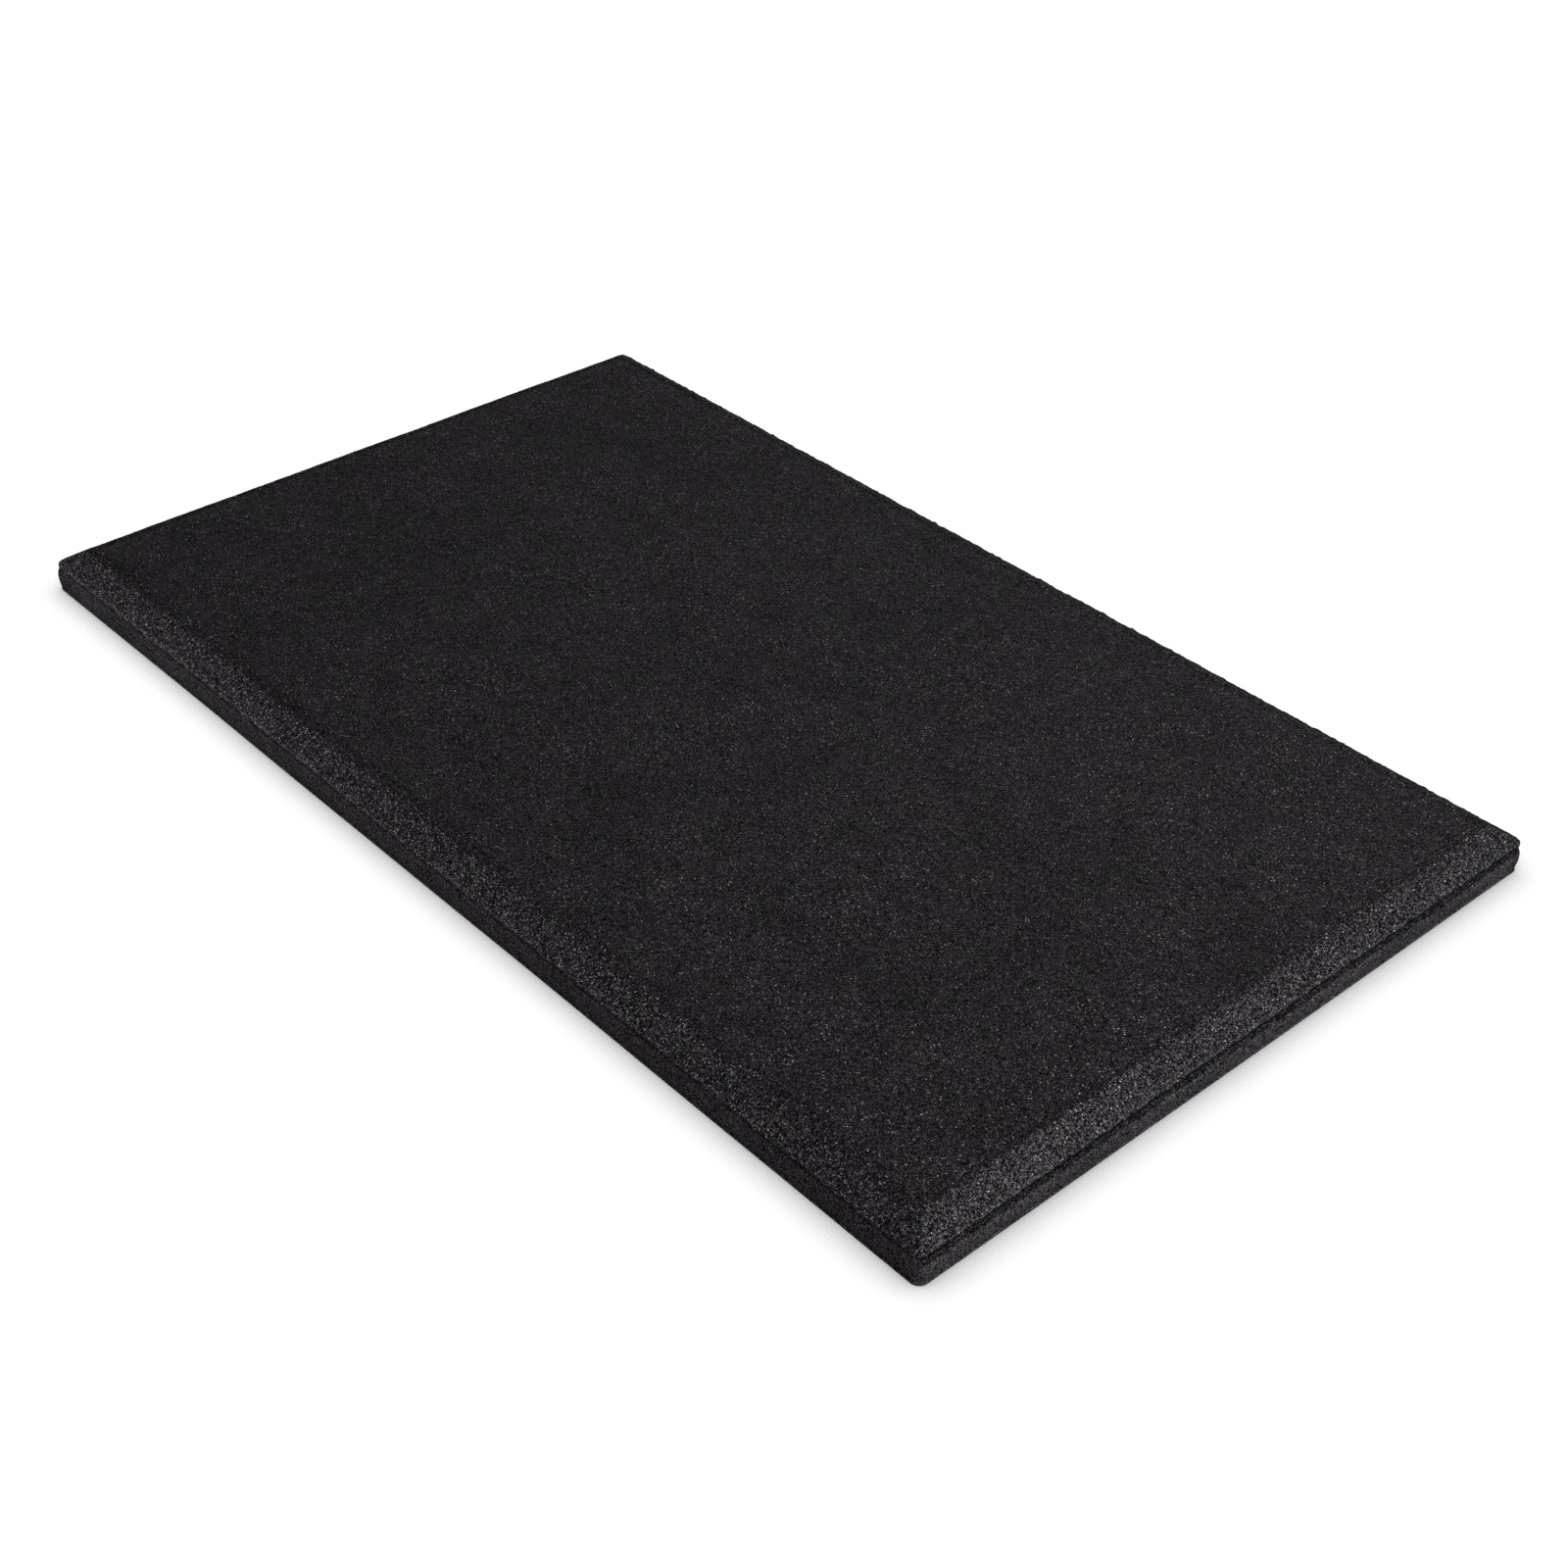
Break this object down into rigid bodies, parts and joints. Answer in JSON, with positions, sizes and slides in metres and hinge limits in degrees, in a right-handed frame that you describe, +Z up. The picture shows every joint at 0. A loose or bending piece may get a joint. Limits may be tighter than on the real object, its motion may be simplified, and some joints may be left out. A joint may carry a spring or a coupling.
{
  "type": "anti-fatigue mat",
  "caption": "Rectangular cushioned standing mat with a pebbled charcoal top, bevelled on all sides, on an anti-slip base.",
  "frame": {"origin": "on the floor, under the middle of the mat", "axes": "+X along the long side, +Y along the short side, +Z up out of the floor"},
  "size_m": [0.762, 0.45, 0.028],
  "materials": {
    "wear_skin": "pebbled matt vinyl with fine glinting grains",
    "bond_film": "cured adhesive film, hidden between layers",
    "foam_core": "cut closed-cell foam, fine and smooth",
    "base_grip": "matt anti-slip rubber"
  },
  "bodies": {
    "root": {"top_wear_skin": "wear_skin", "skin_bond_film": "bond_film", "cushion_core": "foam_core", "base_bond_film": "bond_film", "base_grip_sheet": "base_grip"}
  },
  "joints": []
}
